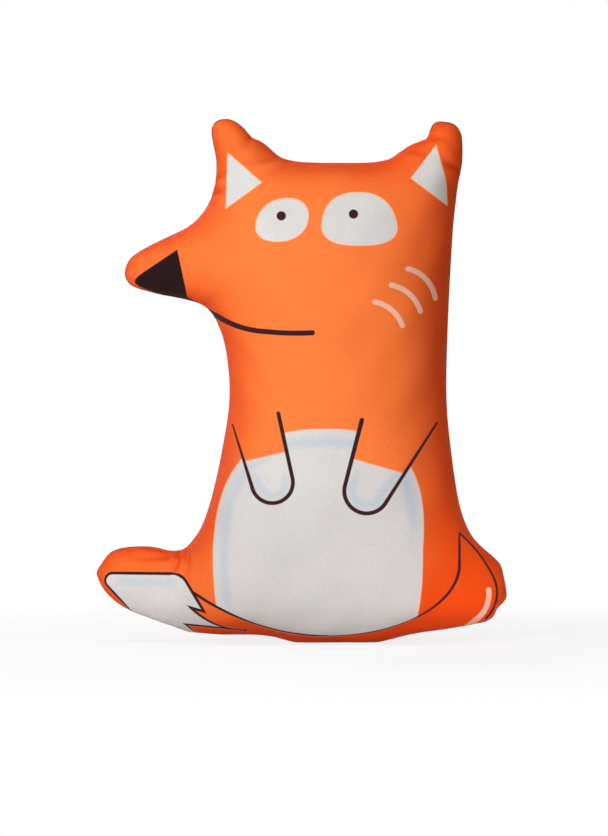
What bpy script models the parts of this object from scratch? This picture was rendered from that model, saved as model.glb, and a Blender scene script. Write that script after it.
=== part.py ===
"""A stuffed fox toy: two stretch-fabric panels sewn face to face round one edge, turned and filled.

Metres, +Z up. The face looks along -Y and the muzzle points to -X. The origin is on the floor,
under the middle of the toy's box.
"""

import bmesh
import bpy
import numpy as np
from mathutils import Vector
from mathutils.geometry import delaunay_2d_cdt

# Sizes of the whole toy
TOY_HEIGHT = 0.350  # floor to ear tips
BODY_DEPTH = 0.132  # front to back where the filled body is thickest

# Head, seen from the front
HEAD_WIDTH = 0.160  # across the head at the muzzle, without it
CROWN_WIDTH = 0.052  # the level stretch between the ears
EAR_SPREAD = 0.168  # outer edge of one ear to outer edge of the other
EAR_RISE = 0.028  # ear tips above the crown
MUZZLE_LENGTH = 0.0625  # beyond the side of the head
MUZZLE_DEPTH = 0.078  # forehead to chin where the muzzle leaves the head
MUZZLE_DROP = 0.074  # crown down to the muzzle's tip

# Trunk and base
WAIST_WIDTH = 0.145
WAIST_HEIGHT = 0.166
HIP_WIDTH = 0.174
HIP_HEIGHT = 0.090
TAIL_LENGTH = 0.0745  # beyond the hip
TAIL_HEIGHT = 0.064  # top of the tail above the floor
HAUNCH_LENGTH = 0.0260  # beyond the hip
HAUNCH_HEIGHT = 0.068
BASE_RISE = 0.0125  # the haunch's underside above the floor
SETTLE = 0.0005  # how deep the filled underside is pressed flat where it stands

# Fabric, seam and filling
FABRIC = 0.0008
SEAM_ALLOWANCE = 0.004  # width of the edge turned inside and stitched through
SEAM_GAP = 0.0003  # between the two turned edges
FILL_GAP = 0.0004  # filling to fabric
EDGE_ROOM = 0.0008  # filling beyond the turned edges
LOBE_GAP = 0.0004  # between two lobes of filling

# How finely the cover is drawn
EDGE_STEP = 0.0135
GRID_STEP = 0.0170
RIM_INSET = SETTLE  # the loop of points next to the seam, which also bounds the flat underside
ROW_INSETS = (0.0042, 0.0095)  # looser rows behind it
ROW_SHARES = (0.55, 0.75)  # how close together a row's points may lie, of the edge's step
EVENING_PASSES = 4
SAME_POINT = 0.0000001

# Points along the seam, as shares of the sizes that they follow. Ears: inward from the ear's
# outer edge to the crown's end, and up from the crown. Muzzle: out from the head, and up from
# its tip. Tail and haunch: out from the hip, and up from the floor.
LEFT_EAR_SHARES = (
    (0.71, 0.23),
    (0.53, 0.52),
    (0.34, 0.86),
    (0.20, 0.985),
    (0.06, 1.00),
    (-0.03, 0.78),
    (0.00, 0.40),
    (0.045, -0.05),
    (0.01, -0.65),
)
RIGHT_EAR_SHARES = (
    (0.05, -0.41),
    (0.015, 0.05),
    (0.03, 0.45),
    (0.06, 0.78),
    (0.16, 0.93),
    (0.32, 0.94),
    (0.40, 0.74),
    (0.52, 0.52),
    (0.71, 0.28),
    (0.82, 0.09),
)
MUZZLE_SHARES = (
    (0.15, 0.53),
    (0.29, 0.40),
    (0.54, 0.295),
    (0.80, 0.19),
    (0.95, 0.10),
    (1.00, -0.02),
    (0.95, -0.11),
    (0.67, -0.185),
    (0.34, -0.245),
    (0.14, -0.31),
    (0.02, -0.45),
)
TAIL_SHARES = (
    (0.17, 1.06),
    (0.30, 0.975),
    (0.61, 1.00),
    (0.83, 0.98),
    (0.96, 0.86),
    (1.00, 0.66),
    (0.93, 0.51),
    (0.65, 0.315),
    (0.32, 0.167),
)
HAUNCH_SHARES = ((0.41, 0.187), (0.72, 0.305), (1.00, 0.51), (0.87, 0.75), (0.44, 0.905), (0.17, 0.985))

# The underside: out along the hip's half width, and up the base's rise
BASE_SHARES = ((-0.72, 0.43), (-0.29, 0.00), (0.29, 0.00), (0.66, 0.54))

# The flanks below the waist: out from the waist to the hip, and up from the hip to the waist
LEFT_FLANK_SHARES = ((0.35, 0.50), (1.00, 0.00))
RIGHT_FLANK_SHARES = ((0.63, 0.00), (0.21, 0.50))
CHIN_SHARES = (0.45, 0.40)  # out from the waist to the head, and up from the waist to the muzzle
TEMPLE_SHARES = (0.55, 0.70)  # out from the waist to the head, and up from the waist to the crown

# Where one lobe of filling ends and the next begins
NECK_SHARE = 0.50  # of the way from the waist up to the muzzle's tip
EAR_ROOT_SHARES = ((0.71, 0.23), (0.04, -0.35))  # ends of the ears' root lines, as the ear points
MUZZLE_ROOT_SHARE = 0.08  # of the muzzle's length beyond the head

ORANGE = (0.90, 0.20, 0.035, 1.0)
ORANGE_BACK = (0.84, 0.17, 0.030, 1.0)
FILLING_WHITE = (0.88, 0.88, 0.86, 1.0)


def clear_scene():
    for old in list(bpy.data.objects):
        bpy.data.objects.remove(old, do_unlink=True)


def plain_material(name, colour, roughness):
    """A Principled material with one colour, for a whole sub-part."""
    made = bpy.data.materials.new(name)
    made.use_nodes = True
    shader = made.node_tree.nodes["Principled BSDF"]
    shader.inputs["Base Color"].default_value = colour
    shader.inputs["Roughness"].default_value = roughness
    shader.inputs["Metallic"].default_value = 0.0
    return made


def crown_height():
    return TOY_HEIGHT - EAR_RISE


def muzzle_axis():
    return crown_height() - MUZZLE_DROP


def ear_point(side, share):
    """A point of an ear, on the side of -X or +X, from its shares inward and upward."""
    outer = EAR_SPREAD / 2
    span = outer - CROWN_WIDTH / 2
    return side * (outer - share[0] * span), crown_height() + share[1] * EAR_RISE


def flank_point(side, share):
    """A point between hip and waist, on the side of -X or +X, from its shares outward and upward."""
    out = WAIST_WIDTH + share[0] * (HIP_WIDTH - WAIST_WIDTH)
    return side * out / 2, HIP_HEIGHT + share[1] * (WAIST_HEIGHT - HIP_HEIGHT)


def head_side_point(side, share, top):
    """A point between waist and head, on the side of -X or +X, from its shares outward and up to the top."""
    out = WAIST_WIDTH + share[0] * (HEAD_WIDTH - WAIST_WIDTH)
    return side * out / 2, WAIST_HEIGHT + share[1] * (top - WAIST_HEIGHT)


def seam_corners():
    """The points that the seam passes through, anticlockwise from the crown, about the trunk's axis."""
    crown, nose = crown_height(), muzzle_axis()
    half_waist, half_hip, half_head = WAIST_WIDTH / 2, HIP_WIDTH / 2, HEAD_WIDTH / 2
    underside = [(out * half_hip, up * BASE_RISE - SETTLE) for out, up in BASE_SHARES]
    corners = [(0, crown), (-CROWN_WIDTH / 2, crown)]
    corners += [ear_point(-1, share) for share in LEFT_EAR_SHARES]
    corners += [(-(half_head + out * MUZZLE_LENGTH), nose + up * MUZZLE_DEPTH) for out, up in MUZZLE_SHARES]
    corners += [head_side_point(-1, CHIN_SHARES, nose), (-half_waist, WAIST_HEIGHT)]
    corners += [flank_point(-1, share) for share in LEFT_FLANK_SHARES]
    corners += [(-(half_hip + out * TAIL_LENGTH), up * TAIL_HEIGHT) for out, up in TAIL_SHARES]
    corners += underside[:2] + [(0, -SETTLE)] + underside[2:]
    corners += [(half_hip + out * HAUNCH_LENGTH, up * HAUNCH_HEIGHT) for out, up in HAUNCH_SHARES]
    corners += [flank_point(1, share) for share in RIGHT_FLANK_SHARES]
    corners += [(half_waist, WAIST_HEIGHT), head_side_point(1, TEMPLE_SHARES, crown)]
    corners += [ear_point(1, share) for share in RIGHT_EAR_SHARES]
    corners += [(CROWN_WIDTH / 2, crown)]
    return np.array(corners, float)


def smooth_loop(corners, step):
    """Points every step or less along a closed centripetal Catmull-Rom curve through the corners."""
    made = []
    count = len(corners)
    for i in range(count):
        before, start, end, after = (corners[(i + k) % count] for k in (-1, 0, 1, 2))
        knots = np.cumsum(
            [0.0] + [np.sqrt(np.linalg.norm(b - a)) for a, b in ((before, start), (start, end), (end, after))]
        )
        leave = (start - before) / knots[1] - (end - before) / knots[2] + (end - start) / (knots[2] - knots[1])
        arrive = (
            (end - start) / (knots[2] - knots[1])
            - (after - start) / (knots[3] - knots[1])
            + (after - end) / (knots[3] - knots[2])
        )
        leave, arrive = leave * (knots[2] - knots[1]), arrive * (knots[2] - knots[1])
        steps = max(1, int(np.ceil(np.linalg.norm(end - start) / step)))
        for t in np.arange(steps) / steps:
            made.append(
                (2 * t**3 - 3 * t**2 + 1) * start
                + (t**3 - 2 * t**2 + t) * leave
                + (3 * t**2 - 2 * t**3) * end
                + (t**3 - t**2) * arrive
            )
    return np.array(made)


def distance_to_loop(points, loop):
    """How far each point is from a closed polyline."""
    ends = np.roll(loop, -1, axis=0)
    along = ends - loop
    offset = points[:, None] - loop[None]
    share = np.clip((offset * along).sum(2) / (along**2).sum(1), 0, 1)
    return np.linalg.norm(offset - share[..., None] * along, axis=2).min(1)


def inside_loop(points, loop):
    """Whether each point lies inside a closed polyline, by counting the edges that it sees to its right."""
    ends = np.roll(loop, -1, axis=0)
    x, z = points[:, 0, None], points[:, 1, None]
    spans = (loop[:, 1] > z) != (ends[:, 1] > z)
    rise = np.where(ends[:, 1] == loop[:, 1], 1.0, ends[:, 1] - loop[:, 1])
    crossing = loop[:, 0] + (z - loop[:, 1]) / rise * (ends[:, 0] - loop[:, 0])
    return (spans & (x < crossing)).sum(1) % 2 == 1


def loop_normals(loop):
    """Outward unit normals of an anticlockwise closed polyline."""
    along = np.roll(loop, -1, axis=0) - np.roll(loop, 1, axis=0)
    out = np.stack([along[:, 1], -along[:, 0]], axis=1)
    return out / np.linalg.norm(out, axis=1, keepdims=True)


def spaced_out(points, kept, least):
    """The points that are at least this far from those kept and from each other."""
    chosen = list(kept)
    added = []
    for point in points:
        if not chosen or np.linalg.norm(np.array(chosen) - point, axis=1).min() >= least:
            chosen.append(point)
            added.append(point)
    return added


def triangulated(points, held):
    """(points, triangles) of the Delaunay triangles inside the seam. The first points form the
    seam, and as many after them form the loop next to it."""
    inside_only = 1
    edges = [(start + i, start + (i + 1) % held) for start in (0, held) for i in range(held)]
    found = delaunay_2d_cdt([Vector(p) for p in points], edges, [], inside_only, SAME_POINT)
    flat = np.array([tuple(v) for v in found[0]])
    triangles = np.array(found[2])
    first, second, third = (flat[triangles[:, k]] for k in range(3))
    turn = np.cross(second - first, third - first)
    triangles[turn < 0] = triangles[turn < 0][:, ::-1]
    return flat, triangles


def evened(points, triangles, fixed):
    """The points after each free one has moved to the middle of its neighbours."""
    total, count = np.zeros_like(points), np.zeros(len(points))
    for a, b in ((0, 1), (1, 2), (2, 0)):
        for start, end in ((a, b), (b, a)):
            np.add.at(total, triangles[:, start], points[triangles[:, end]])
            np.add.at(count, triangles[:, start], 1)
    middle = total / count[:, None]
    middle[:fixed] = points[:fixed]
    return middle


def flat_pattern(loop):
    """(points, triangles) of the panel before filling, in the plane of the seam. The seam's points come first."""
    normals = loop_normals(loop)
    points = list(loop) + list(loop - RIM_INSET * normals)
    fixed = len(points)
    for inset, share in zip(ROW_INSETS, ROW_SHARES):
        row = loop - inset * normals
        clear = inside_loop(row, loop) & (distance_to_loop(row, loop) > 0.85 * inset)
        placed = np.array(points)
        free = [p for p in row[clear] if np.linalg.norm(placed - p, axis=1).min() >= 0.7 * (inset - RIM_INSET)]
        points += spaced_out(free, [], share * EDGE_STEP)
    low, high = loop.min(0), loop.max(0)
    row_step = GRID_STEP * np.sqrt(3) / 2
    rows = np.arange(low[1], high[1], row_step)
    columns = np.arange(low[0], high[0], GRID_STEP)
    grid = np.array([(x + (i % 2) * GRID_STEP / 2, z) for i, z in enumerate(rows) for x in columns])
    deep = inside_loop(grid, loop) & (distance_to_loop(grid, loop) > ROW_INSETS[-1] + GRID_STEP / 2)
    points += spaced_out(grid[deep], points, 0.6 * GRID_STEP)
    flat, triangles = triangulated(points, len(loop))
    for _ in range(EVENING_PASSES):
        flat, triangles = triangulated(evened(flat, triangles, fixed), len(loop))
    return flat, triangles


def membrane(points, triangles, held):
    """Height of a membrane under even pressure, held at its first points. It solves the
    membrane's equation on the triangles, by linear elements."""
    count = len(points)
    stiffness, load = np.zeros((count, count)), np.zeros(count)
    for turn in range(3):
        apex, left, right = (triangles[:, (turn + k) % 3] for k in range(3))
        to_left, to_right = points[left] - points[apex], points[right] - points[apex]
        twice_area = np.cross(to_left, to_right)
        half_cotangent = (to_left * to_right).sum(1) / twice_area / 2
        for a, b in ((left, right), (right, left)):
            np.add.at(stiffness, (a, b), -half_cotangent)
            np.add.at(stiffness, (a, a), half_cotangent)
        np.add.at(load, apex, twice_area / 6)
    height = np.zeros(count)
    height[held:] = np.linalg.solve(stiffness[held:, held:], load[held:])
    return height


def skin_normals(points, triangles, held):
    """Outward unit normals of the front skin. The seam's lie in its plane, as the two sides mirror each other."""
    first, second, third = (points[triangles[:, k]] for k in range(3))
    faces = np.cross(second - first, third - first)
    normals = np.zeros_like(points)
    for k in range(3):
        np.add.at(normals, triangles[:, k], faces)
    normals[:held, 1] = 0
    return normals / np.linalg.norm(normals, axis=1, keepdims=True)


class Cover:
    """The filled cover's front skin: points, their normals and triangles, the seam's points first."""

    def __init__(self):
        loop = smooth_loop(seam_corners(), EDGE_STEP)
        self.axis = -(loop[:, 0].min() + loop[:, 0].max()) / 2  # the trunk's place in the toy's frame
        loop[:, 0] += self.axis
        flat, self.triangles = flat_pattern(loop)
        self.held = len(loop)
        swell = np.sqrt(membrane(flat, self.triangles, self.held))
        half_depth = swell * (BODY_DEPTH / 2) / swell.max()
        self.points = np.stack([flat[:, 0], -half_depth, np.maximum(flat[:, 1], 0)], axis=1)
        self.normals = skin_normals(self.points, self.triangles, self.held)

    def moved_in(self, depth, seam_depth):
        """The skin's points moved in by this much, and by seam_depth at the seam. No point sinks nearer the floor."""
        far = np.full(len(self.points), depth)
        far[: self.held] = seam_depth
        moved = self.points - far[:, None] * self.normals
        moved[:, 2] = np.maximum(moved[:, 2], depth)
        return moved


def make_object(name, mesh, material, parent):
    mesh.materials.append(material)
    mesh.shade_smooth()
    made = bpy.data.objects.new(name, mesh)
    bpy.context.scene.collection.objects.link(made)
    made.parent = parent
    return made


def panel(name, cover, side, material, parent):
    """One panel of the cover, on the side of -Y or +Y, with its edge turned inside as the seam allowance."""
    half_gap = SEAM_GAP / 2
    held, count = cover.held, len(cover.points)
    outer = cover.points.copy()
    outer[:, 1] -= half_gap
    inner = cover.moved_in(FABRIC, FABRIC)
    inner[:, 1] -= half_gap
    inner[:held, 1] = -half_gap - FABRIC
    tip = cover.moved_in(FABRIC, SEAM_ALLOWANCE)[:held]
    tip_out, tip_in = tip.copy(), tip.copy()
    tip_out[:, 1], tip_in[:, 1] = -half_gap, -half_gap - FABRIC
    points = np.concatenate([outer, inner, tip_out, tip_in])
    faces = [tuple(t) for t in cover.triangles]
    faces += [tuple(count + i for i in t[::-1]) for t in cover.triangles]
    first_out, first_in = 2 * count, 2 * count + held
    for i in range(held):
        j = (i + 1) % held
        faces.append((i, first_out + i, first_out + j, j))
        faces.append((first_out + j, first_out + i, first_in + i, first_in + j))
        faces.append((first_in + j, first_in + i, count + i, count + j))
    if side > 0:
        points[:, 1] *= -1
        faces = [face[::-1] for face in faces]
    mesh = bpy.data.meshes.new(name)
    mesh.from_pydata(points.tolist(), [], faces)
    return make_object(name, mesh, material, parent)


def filling_surface(cover):
    """The whole filling as one closed surface, with a slot round its edge for the turned edges."""
    inset = FABRIC + FILL_GAP
    slot_wall = SEAM_GAP / 2 + inset
    held = cover.held
    skin = cover.moved_in(inset, inset)
    skin[:, 1] = np.minimum(skin[:, 1], -slot_wall)
    slot_floor = cover.moved_in(inset, SEAM_ALLOWANCE + EDGE_ROOM)[:held]
    slot_floor[:, 1] = -slot_wall
    front = np.concatenate([skin, slot_floor])
    back = len(front)
    floor_front, floor_back = len(skin), back + len(skin)
    faces = [tuple(t) for t in cover.triangles]
    faces += [tuple(back + i for i in t[::-1]) for t in cover.triangles]
    for i in range(held):
        j = (i + 1) % held
        faces.append((i, floor_front + i, floor_front + j, j))
        faces.append((floor_front + i, floor_back + i, floor_back + j, floor_front + j))
        faces.append((floor_back + i, back + i, back + j, floor_back + j))
    mesh = bpy.data.meshes.new("filling")
    mesh.from_pydata(np.concatenate([front, front * (1, -1, 1)]).tolist(), [], faces)
    return mesh


def lobe(name, whole, cuts, material, parent):
    """A lobe of the filling: what lies behind every cut. A cut is a point and the direction taken away."""
    shape = bmesh.new()
    shape.from_mesh(whole)
    for point, away in cuts:
        start = Vector(point) - Vector(away) * LOBE_GAP / 2
        everything = shape.verts[:] + shape.edges[:] + shape.faces[:]
        cut = bmesh.ops.bisect_plane(shape, geom=everything, plane_co=start, plane_no=away, clear_outer=True)
        rim = [e for e in cut["geom_cut"] if isinstance(e, bmesh.types.BMEdge)]
        bmesh.ops.triangle_fill(shape, edges=rim, use_beauty=True, use_dissolve=False)
    bmesh.ops.recalc_face_normals(shape, faces=shape.faces[:])
    mesh = bpy.data.meshes.new(name)
    shape.to_mesh(mesh)
    shape.free()
    return make_object(name, mesh, material, parent)


def root_line(start, end):
    """A cut along a line in the seam's plane: its middle, and the direction to the left of start to end."""
    start, end = Vector((start[0], 0, start[1])), Vector((end[0], 0, end[1]))
    along = (end - start).normalized()
    return (start + end) / 2, Vector((-along.z, 0, along.x))


def turned(cut):
    return cut[0], -cut[1]


def main():
    clear_scene()
    fox = bpy.data.objects.new("fox_toy", None)
    bpy.context.scene.collection.objects.link(fox)
    printed = plain_material("printed_stretch_fabric", ORANGE, 0.62)
    plain = plain_material("plain_stretch_fabric", ORANGE_BACK, 0.62)
    fill = plain_material("bead_filling", FILLING_WHITE, 0.9)

    cover = Cover()
    panel("front_panel", cover, -1, printed, fox)
    panel("back_panel", cover, 1, plain, fox)

    axis = cover.axis
    neck_height = WAIST_HEIGHT + NECK_SHARE * (muzzle_axis() - WAIST_HEIGHT)
    muzzle_root = axis - HEAD_WIDTH / 2 - MUZZLE_ROOT_SHARE * MUZZLE_LENGTH
    neck = (Vector((axis, 0, neck_height)), Vector((0, 0, 1)))
    muzzle = (Vector((muzzle_root, 0, neck_height)), Vector((-1, 0, 0)))
    tail = (Vector((axis - HIP_WIDTH / 2, 0, 0)), Vector((-1, 0, 0)))
    haunch = (Vector((axis + HIP_WIDTH / 2, 0, 0)), Vector((1, 0, 0)))
    left_root, right_root = ([ear_point(side, share) for share in EAR_ROOT_SHARES] for side in (-1, 1))
    left_ear = root_line(*[(x + axis, z) for x, z in left_root[::-1]])
    right_ear = root_line(*[(x + axis, z) for x, z in right_root])

    whole = filling_surface(cover)
    lobes = {
        "body_filling": (neck, tail, haunch),
        "head_filling": (turned(neck), muzzle, left_ear, right_ear),
        "muzzle_filling": (turned(neck), turned(muzzle)),
        "left_ear_filling": (turned(left_ear),),
        "right_ear_filling": (turned(right_ear),),
        "tail_filling": (neck, turned(tail)),
        "haunch_filling": (neck, turned(haunch)),
    }
    for name, cuts in lobes.items():
        lobe(name, whole, cuts, fill, fox)


main()
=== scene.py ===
"""A stuffed fox toy on a pale floor: two covers of stretch knit, the stitches in their seam, bead filling."""

import math
from functools import reduce

import bpy
import numpy as np
from bpy.props import FloatProperty, FloatVectorProperty, IntProperty, PointerProperty
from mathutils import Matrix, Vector
from mathutils.geometry import delaunay_2d_cdt
from mathutils.kdtree import KDTree
from numpy.linalg import norm, solve


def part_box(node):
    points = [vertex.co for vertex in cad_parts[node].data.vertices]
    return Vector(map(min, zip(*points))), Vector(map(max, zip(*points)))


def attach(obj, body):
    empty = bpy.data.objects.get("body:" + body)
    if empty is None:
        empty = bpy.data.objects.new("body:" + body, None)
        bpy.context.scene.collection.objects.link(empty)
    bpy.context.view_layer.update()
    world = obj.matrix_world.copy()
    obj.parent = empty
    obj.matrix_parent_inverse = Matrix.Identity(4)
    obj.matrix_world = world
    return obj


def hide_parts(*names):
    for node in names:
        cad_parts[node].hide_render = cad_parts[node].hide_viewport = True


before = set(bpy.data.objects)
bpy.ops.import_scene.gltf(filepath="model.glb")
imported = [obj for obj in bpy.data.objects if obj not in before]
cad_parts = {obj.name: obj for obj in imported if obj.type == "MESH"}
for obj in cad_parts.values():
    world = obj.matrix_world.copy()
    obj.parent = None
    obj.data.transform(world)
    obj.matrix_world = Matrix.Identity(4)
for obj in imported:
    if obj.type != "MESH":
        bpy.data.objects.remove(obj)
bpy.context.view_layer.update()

bl_info = {
    "name": "Stuffed fox toy",
    "version": (1, 0, 0),
    "blender": (4, 5, 0),
    "location": "3D View > Sidebar > Fox Toy",
    "description": "Builds a filled fabric fox round its packed frame",
    "category": "Add Mesh",
}

BODY = "root"
MM = 0.001

FRONT_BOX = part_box("front_panel")
HALF_DEPTH = -FRONT_BOX[0].y
TOY_WIDTH = FRONT_BOX[1].x - FRONT_BOX[0].x
TOY_HEIGHT = FRONT_BOX[1].z - FRONT_BOX[0].z
FILLING_NODES = (
    "body_filling", "head_filling", "muzzle_filling", "left_ear_filling", "right_ear_filling",
    "tail_filling", "haunch_filling",
)

# The seam's course in millimetres, across and up, anticlockwise from the middle of the crown
SEAM_COURSE = (
    (24.2, 320.6), (6.4, 320.8), (-6.8, 322.0), (-14.8, 324.8), (-22.3, 331.2), (-27.4, 335.0),
    (-33.2, 337.6), (-37.4, 342.4), (-41.6, 346.4), (-46.0, 349.0), (-51.0, 350.0), (-56.8, 348.6),
    (-60.2, 343.4), (-59.4, 334.6), (-57.1, 322.0), (-58.2, 305.6), (-63.8, 290.6), (-73.9, 279.2),
    (-89.5, 271.0), (-105.8, 262.8), (-115.1, 255.8), (-118.3, 246.4), (-115.1, 239.4), (-98.0, 233.2),
    (-84.0, 230.4), (-75.0, 228.4), (-66.0, 225.2), (-59.6, 219.2), (-55.2, 210.6), (-51.4, 198.8),
    (-48.2, 166.0), (-53.3, 128.0), (-61.6, 92.0), (-68.0, 75.2), (-72.4, 68.8), (-77.0, 63.6),
    (-81.2, 61.4), (-89.6, 61.3), (-94.7, 62.7), (-101.2, 63.8), (-113.6, 63.8), (-122.3, 62.4),
    (-127.2, 60.4), (-130.5, 57.2), (-134.2, 51.8), (-137.2, 46.6), (-135.9, 42.0), (-133.2, 36.5),
    (-126.6, 28.8), (-115.8, 21.6), (-100.5, 15.5), (-83.4, 9.5), (-76.2, 6.9), (-66.0, 5.8),
    (-54.0, 4.9), (-38.4, 4.9), (-22.0, 4.2), (-3.0, -0.5), (24.2, -0.5), (49.0, -0.5),
    (66.0, 3.4), (77.0, 5.8), (97.9, 8.8), (117.0, 12.2), (123.8, 13.8), (128.4, 17.0),
    (130.6, 21.8), (136.4, 28.2), (137.2, 31.2), (136.8, 35.6), (135.4, 42.9), (134.0, 49.6),
    (132.8, 52.2), (127.8, 57.4), (118.4, 65.6), (113.2, 72.2), (109.2, 80.5), (105.6, 92.0),
    (100.0, 128.0), (96.9, 166.0), (101.2, 275.2), (103.0, 293.0), (105.0, 308.4), (106.8, 316.0),
    (107.6, 324.0), (107.5, 334.0), (106.9, 339.4), (104.5, 344.2), (100.4, 347.2), (95.4, 348.0),
    (90.2, 348.0), (86.8, 344.9), (85.2, 340.0), (83.4, 336.8), (80.0, 335.2), (73.2, 332.6),
    (66.4, 328.4), (58.8, 323.2), (48.0, 321.0),
)

# The drawing is measured as seen from this far off, about this place across and up, in millimetres
DRAWN_FROM = 2600.0
DRAWN_ABOUT = (1.6, 149.8)

# Creases in millimetres: where each starts, where it dies out, how wide and how deep it is
CREASES = (
    ((107.4, 315.4), (90.5, 324.6), 2.1, 2.4),
    ((83.0, 335.8), (95.5, 337.6), 1.6, 2.3),
    ((67.0, 328.4), (85.0, 325.4), 1.9, 1.4),
    ((-10.0, 322.2), (-42.0, 316.6), 1.8, -1.1),
    ((-58.2, 306.4), (-49.5, 314.0), 1.6, 3.0),
    ((-60.0, 297.6), (-48.5, 303.0), 1.8, 3.0),
    ((-31.5, 338.0), (-42.0, 331.0), 2.2, 1.3),
    ((-80.6, 61.6), (-89.0, 44.0), 1.5, 1.8),
    ((-76.8, 62.4), (-78.4, 42.0), 1.5, 1.6),
    ((-89.0, 58.4), (-118.0, 60.4), 1.9, 1.3),
    ((-87.0, 271.0), (-93.0, 259.0), 2.6, 1.1),
    ((-104.0, 262.5), (-106.5, 252.0), 2.4, 0.9),
    ((134.0, 47.0), (124.0, 42.0), 2.2, 1.3),
    ((131.0, 23.0), (121.0, 27.0), 2.2, 1.6),
    ((116.0, 12.0), (110.5, 20.0), 2.2, 1.0),
    ((-64.5, 223.0), (-50.0, 231.0), 2.8, 0.9),
)

# The knit as cloth, held at the seam and blown up by pressure
CLOTH = {
    "quality": 6, "mass": 0.15, "tension_stiffness": 30, "compression_stiffness": 30, "shear_stiffness": 12,
    "bending_stiffness": 2.0, "use_pressure": True, "vertex_group_mass": "seam",
}

# The opening that the toy was filled through, closed by hand, as points on the seam's course
CLOSED_BY_HAND = ((136.0, 30.0), (86.0, 7.0))

# Rows of mesh points inside the seam: how far in, and their least spacing as a share of the edge step
SEAM_ROWS = ((0.0012, 0.8), (0.0031, 0.9))

# The least room between mesh points of different rows, as a share of a row's own step
ROOM_SHARE = 0.6

# Mesh points along the creases: rows beside each as shares of its width, their spacing, the least
# room between any two and the least distance to the seam
FOLD_ROWS = (0.0, -1.2, 1.2, -2.4, 2.4)
FOLD_STEP, FOLD_ROOM, FOLD_TO_SEAM = 0.0022, 0.0017, 0.0045

# Loops added between the seam and the loop next to it, as shares of the way
RIM_SHARES = (0.13, 0.33, 0.6)

# How far from the seam the creases, ridges, lumps and gathers start and reach full height
CREASE_GROWS, RIDGE_GROWS, LUMP_GROWS = (0.0, 0.009), (0.002, 0.018), (0.002, 0.025)
GATHER_GROWS, GATHER_REACH = (0.0, 0.0015), 0.006

# Creases are a little shallower on the back
BACK_STRENGTH = 0.75

# The knit in millimetres: half the pitch of its ribs, and the height of its rows
HALF_RIB, KNIT_ROW = 0.36, 0.62

# How far the filling stays under the fabric, behind the turned edge, and above the fabric on the floor
FILLING_UNDER, FILLING_BEHIND, FILLING_ABOVE = 0.0026, 0.002, 0.0006


def setting(maker, **kind):
    """A maker of settings of one kind, each from its name, description and default."""
    return lambda name, about, default: maker(name=name, description=about, default=default, **kind)


metres = setting(FloatProperty, unit="LENGTH")
watts = setting(FloatProperty, unit="POWER")
ratio = setting(FloatProperty, subtype="FACTOR", min=0.0, max=1.0)
angle = setting(FloatProperty, subtype="ANGLE")
plain = setting(FloatProperty)
whole = setting(IntProperty)
paint = setting(FloatVectorProperty, subtype="COLOR")


class FoxCoverSettings(bpy.types.PropertyGroup):
    """Sizes of the cover's fabric, seam and filling"""

    fabric: metres("Fabric", "Thickness of the knit", 0.0008)
    seam_allowance: metres("Seam allowance", "Width of the turned edge", 0.0035)
    seam_gap: metres("Seam gap", "Between the two turned edges", 0.00014)
    edge_step: metres("Edge step", "Spacing of points along the seam", 0.0031)
    skin_step: metres("Skin step", "Spacing of points over the skin", 0.0042)
    first_row: metres("First row", "Inset of the loop next to the seam", 0.00026)
    start_depth: ratio("Depth before filling", "Share of the full depth at the start", 0.93)
    pressure: plain("Filling pressure", "How hard the filling pushes", 5.0)
    slack: ratio("Slack", "Share by which the cloth is cut larger than the form", 0.002)
    frames: whole("Filling frames", "Frames that the filling takes", 20)
    most_move: metres("Most movement", "How far filling may move the skin", 0.005)
    lump: metres("Lumps", "Height of the filling's soft lumps", 0.0007)
    pucker: metres("Seam pucker", "Depth of the gathers at the seam", 0.00045)
    pucker_pitch: metres("Gather pitch", "Spacing of the seam's gathers", 0.0115)


class FoxStitchSettings(bpy.types.PropertyGroup):
    """Sizes of the thread in the seam"""

    thread: metres("Thread", "Diameter of the thread", 0.00042)
    pitch: metres("Stitch pitch", "Spacing of the stitches", 0.0027)
    reach: metres("Stitch reach", "How far a stitch reaches", 0.0009)
    hand_pitch: metres("Hand stitch pitch", "Spacing of the hand stitches", 0.0042)
    hand_reach: metres("Hand stitch reach", "How far a hand stitch reaches", 0.0017)


class FoxColourSettings(bpy.types.PropertyGroup):
    """Colours of the cloth, its print, the thread, the filling and the floor"""

    # Orange is the knit facing the front; deep orange is the knit at the seam and also painted shade on the
    # sides, to the right and low down
    orange: paint("Orange", "Knit stretched most", (0.97, 0.205, 0.046))
    deep_orange: paint("Deep orange", "Knit at the seam", (0.82, 0.072, 0.007))
    white: paint("White", "Unprinted cloth", (0.665, 0.640, 0.626))
    cream: paint("Cream", "Rim of the white areas", (0.93, 0.53, 0.36))
    ink: paint("Ink", "The nose", (0.020, 0.009, 0.010))
    pen: paint("Pen", "Drawn lines", (0.040, 0.014, 0.018))
    blue: paint("Pale blue", "Shading on the white", (0.50, 0.56, 0.62))
    blush: paint("Blush", "Pale strokes on the orange", (0.92, 0.50, 0.36))
    thread: paint("Thread", "Sewing thread", (0.72, 0.13, 0.022))
    filling: paint("Filling", "Filling beads", (0.80, 0.80, 0.78))
    floor: paint("Floor", "Studio floor", (0.90, 0.90, 0.90))


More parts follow.
